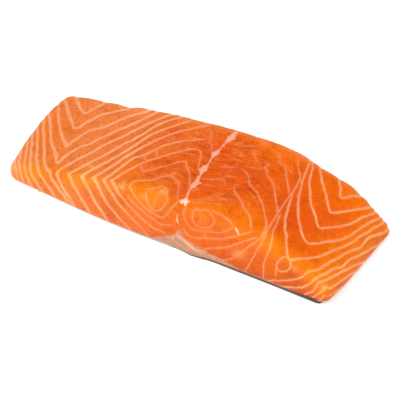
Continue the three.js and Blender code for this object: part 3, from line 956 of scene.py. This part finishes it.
def makeFleshMaterial():
    material, tree, shader = startMaterial("raw salmon flesh")
    colours, look = fleshColours, fleshLook
    fine = noise(place(tree), 1.4, 3, 0.6)
    grain = noise(pairUp(tree, "grainAlong", 0.75, "grainReach", 0.16), 1.0, 4, 0.7)
    fray = calc("MULTIPLY_ADD", fine, 0.4, -0.2)
    fat = fatShare(tree, fray)
    belly = attribute(tree, "belly")
    base = wash(muscleColour(tree, grain, belly), "wedge", wedgeColour(tree))
    base = wash(base, "pale", colours["pale"])
    fatColour = tint(belly, colours["fatLoin"], colours["fat"])
    # Fat lines are painted lighter where the crease glow is painted
    fatColour = wash(fatColour, "glow", colours["fatCreaseGlow"])
    base = tint(times(fat, look["fatShare"]), base, fatColour)
    base = addCore(tree, base, fray)
    for name in ("rim", "edge"):
        base = wash(base, name, colours[name])
    gloss = calc("MULTIPLY_ADD", noise(place(tree), 0.5, 3), 0.16, look["roughness"] - 0.08)
    relief = calc("MULTIPLY_ADD", grain, 0.7, calc("MULTIPLY_ADD", fat, -0.5, fine))
    fill(shader, Base_Color=base, Roughness=gloss, Normal=emboss(relief, 0.4, 0.3), **fleshShine)
    return material


flesh = makeFlesh()
flesh.data.materials.clear()
flesh.data.materials.append(makeFleshMaterial())
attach(flesh, "root")
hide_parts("flesh")
print("flesh made")


# Skin

skinPlan = dict(
    lift=0.22, cornerBack=1.4, corner=[("x", 66, 86), ("y", -4, -24)], proud=0.45,
    proudWithin=[("x", 20, 45), ("y", -20, -29)], jitter=(0.12, 0.12, 0.02), lookOut=(1.026, 1.08, 1),
    lookFrom=5, overlap=1.08)
# Inputs of the scale tree, with the tilt in degrees
scalePlan = {
    "Pitch Across": 3.1, "Pitch Along": 2.5, "Scale Width": 4.3, "Scale Thickness": 0.34, "Tilt": 4.2,
    "Height": 0.26, "Seed": 4}


# Rows of overlapping scales where the skin lies over them
def makeScaleTree(material):
    tree = bpy.data.node_groups.new("fish scales", "GeometryNodeTree")
    face = tree.interface
    face.new_socket("Geometry", in_out="INPUT", socket_type="NodeSocketGeometry")
    for name in scalePlan:
        kind = "NodeSocketInt" if name == "Seed" else "NodeSocketFloat"
        face.new_socket(name, in_out="INPUT", socket_type=kind)
    face.new_socket("Geometry", in_out="OUTPUT", socket_type="NodeSocketGeometry")

    def add(kind, **inputs):
        return fill(tree.nodes.new(kind), **inputs)

    def vector(x, y, z):
        return add("ShaderNodeCombineXYZ", X=x, Y=y, Z=z).outputs[0]

    def joinVectors(operation, *values):
        return addNode("ShaderNodeVectorMath", values, operation=operation).outputs[0]

    given = tree.nodes.new("NodeGroupInput").outputs
    across, along, width = given["Pitch Across"], given["Pitch Along"], given["Scale Width"]
    size = cadHigh - cadLow
    columns = calc("CEIL", calc("DIVIDE", size.x, across))
    rows = calc("CEIL", calc("DIVIDE", size.y, along))
    grid = add("GeometryNodeMeshGrid", Size_X=times(columns, across), Size_Y=times(rows, along),
               Vertices_X=columns, Vertices_Y=rows)
    spot = tree.nodes.new("GeometryNodeInputPosition").outputs[0]
    parts = add("ShaderNodeSeparateXYZ", Vector=spot).outputs
    row = calc("ROUND", calc("DIVIDE", parts["Y"], along))
    shift = times(calc("FLOORED_MODULO", row, 2.0), calc("DIVIDE", across, 2.0))
    jitter = add("FunctionNodeRandomValue", Seed=given["Seed"])
    jitter.data_type = "FLOAT_VECTOR"
    jitter.inputs[0].default_value = [-side * mm for side in skinPlan["jitter"]]
    jitter.inputs[1].default_value = [side * mm for side in skinPlan["jitter"]]
    offset = joinVectors("ADD", vector(shift, 0.0, given["Height"]), jitter.outputs[0])
    moved = add("GeometryNodeSetPosition", Geometry=grid.outputs["Mesh"], Offset=offset)
    below = (0, 0, -skinPlan["lookFrom"] * mm)
    start = joinVectors("ADD", joinVectors("MULTIPLY", spot, skinPlan["lookOut"]), below)
    hit = add("GeometryNodeRaycast", Target_Geometry=given["Geometry"], Source_Position=start,
              Ray_Direction=(0, 0, 1), Ray_Length=2 * skinPlan["lookFrom"] * mm)
    outside = addNode("FunctionNodeBooleanMath", (hit.outputs["Is Hit"],), operation="NOT")
    kept = add("GeometryNodeDeleteGeometry", Geometry=moved.outputs[0], Selection=outside.outputs[0])
    scale = add("GeometryNodeMeshUVSphere", Segments=8, Rings=4, Radius=0.5)
    stretch = vector(width, times(width, skinPlan["overlap"]), given["Scale Thickness"])
    tip = vector(times(given["Tilt"], math.radians(1)), 0.0, 0.0)
    scattered = add("GeometryNodeInstanceOnPoints", Points=kept.outputs[0], Instance=scale.outputs["Mesh"],
                    Scale=stretch, Rotation=tip)
    tone = add("FunctionNodeRandomValue", Seed=given["Seed"])
    stored = add("GeometryNodeStoreNamedAttribute", Geometry=scattered.outputs[0], Name="scaleTone",
                 Value=tone.outputs[1])
    stored.domain = "INSTANCE"
    real = add("GeometryNodeRealizeInstances", Geometry=stored.outputs[0])
    smooth = add("GeometryNodeSetShadeSmooth", Geometry=real.outputs[0])
    joined = add("GeometryNodeJoinGeometry", Geometry=smooth.outputs[0])
    tree.links.new(given["Geometry"], joined.inputs[0])
    painted = add("GeometryNodeSetMaterial", Geometry=joined.outputs[0], Material=material)
    end = tree.nodes.new("NodeGroupOutput")
    tree.links.new(painted.outputs[0], end.inputs[0])
    return tree


skinColours = {name: fromHex(code) for name, code in dict(
    belly="e8c8b2", freckle="181a1e", lateral="3c4044", cutEdge="4a2a1c", cutLoin="3c2e2e").items()}
# The skin turns darker towards the back, as (start x, end x, colour)
skinBands = [(-62, 8, "c4b6ac"), (10, 56, "464c52"), (56, 100, "2c3238")]


def makeSkinMaterial():
    material, tree, shader = startMaterial("wet salmon skin")
    colours = skinColours
    x, _, height = addNode("ShaderNodeSeparateXYZ", (place(tree),)).outputs
    wander = calc("MULTIPLY_ADD", noise(place(tree), 0.05, 3), 24, x)
    colour = colours["belly"]
    for start, end, band in skinBands:
        colour = tint(ramp(wander, start, end), colour, fromHex(band))
    tone = ramp(attribute(tree, "scaleTone"), 0, 1, 0, 0.35)
    colour = tint(tone, colour, (0.62, 0.64, 0.66, 1), "MULTIPLY")
    cells = fill(addNode("ShaderNodeTexVoronoi", (place(tree, (1, 1, 1000)),)), Scale=0.075)
    freckle = times(ramp(cells.outputs["Distance"], 0.1, 0.2, 1, 0), ramp(x, 8, 30))
    colour = tint(freckle, colour, colours["freckle"])
    lateral = ramp(calc("ABSOLUTE", calc("SUBTRACT", x, 6.0)), 0.3, 1.0, 0.6, 0)
    colour = tint(lateral, colour, colours["lateral"])
    cutEdge = tint(ramp(x, 60, 84), colours["cutEdge"], colours["cutLoin"])
    cutShare = times(ramp(height, 0.4, 0.5), ramp(x, 0, 24))
    rings = noise(place(tree), 2.6, 3, 0.6)
    colour = tint(cutShare, colour, cutEdge)
    shine = ramp(rings, 0.3, 0.7, 0.24, 0.42)
    fill(shader, Base_Color=colour, Roughness=shine, Normal=emboss(rings, 0.3, 0.15),
         Metallic=0.35, Coat_Weight=0.3, Coat_Roughness=0.12)
    return material


def makeSkin():
    plan = skinPlan
    mesh = copyNode("skin", "skin_scaled")
    points = readVectors(mesh.vertices, "co") / mm
    points[:, 2] = np.maximum(points[:, 2], plan["lift"])
    back = plan["cornerBack"] * within(points, plan["corner"])
    out = plan["proud"] * within(points, plan["proudWithin"]) + footBulge(points)
    points[:, 0] -= back
    points[:, 1] -= out
    movePoints(mesh, points)
    piece = addObject("skin_scaled", mesh)
    tree = makeScaleTree(makeSkinMaterial())
    scales = piece.modifiers.new("scales", "NODES")
    scales.node_group = tree
    for item in tree.interface.items_tree:
        if item.in_out == "INPUT" and item.name in scalePlan:
            value = scalePlan[item.name]
            scales[item.identifier] = value if item.name in ("Seed", "Tilt") else value * mm
    settle(piece)
    return piece


skin = makeSkin()
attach(skin, "root")
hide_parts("skin")
print("skin made", len(skin.data.vertices))


# Floor and light, in metres

stagePlan = dict(
    floorSize=14, floor=(0.97, 0.97, 0.97, 1), floorRoughness=0.9, floorGlow=0.34, sky=0.52,
    key=dict(at=(-0.5, -1.6, 2.0), size=1.6, power=36), fill=dict(at=(1.6, 0.6, 1.6), size=1.8, power=14))
white = (1, 1, 1, 1)


def makeFloor():
    bpy.ops.mesh.primitive_plane_add(size=stagePlan["floorSize"])
    floor = bpy.context.object
    floor.name = "floor"
    material, tree, shader = startMaterial("pale floor")
    plan = stagePlan
    fill(shader, Base_Color=plan["floor"], Roughness=plan["floorRoughness"], Emission_Color=white,
         Emission_Strength=plan["floorGlow"])
    floor.data.materials.append(material)


def makeLight(name):
    plan = stagePlan[name]
    data = bpy.data.lights.new(name, "AREA")
    data.size = plan["size"]
    data.energy = plan["power"]
    addAimed(data, plan["at"], -Vector(plan["at"]))


def makeSky():
    world = bpy.data.worlds.new("studio")
    world.use_nodes = True
    fill(world.node_tree.nodes["Background"], Color=white, Strength=stagePlan["sky"])
    bpy.context.scene.world = world


makeFloor()
makeLight("key")
makeLight("fill")
makeSky()
bpy.context.scene.view_settings.view_transform = "Standard"
print("stage lit")
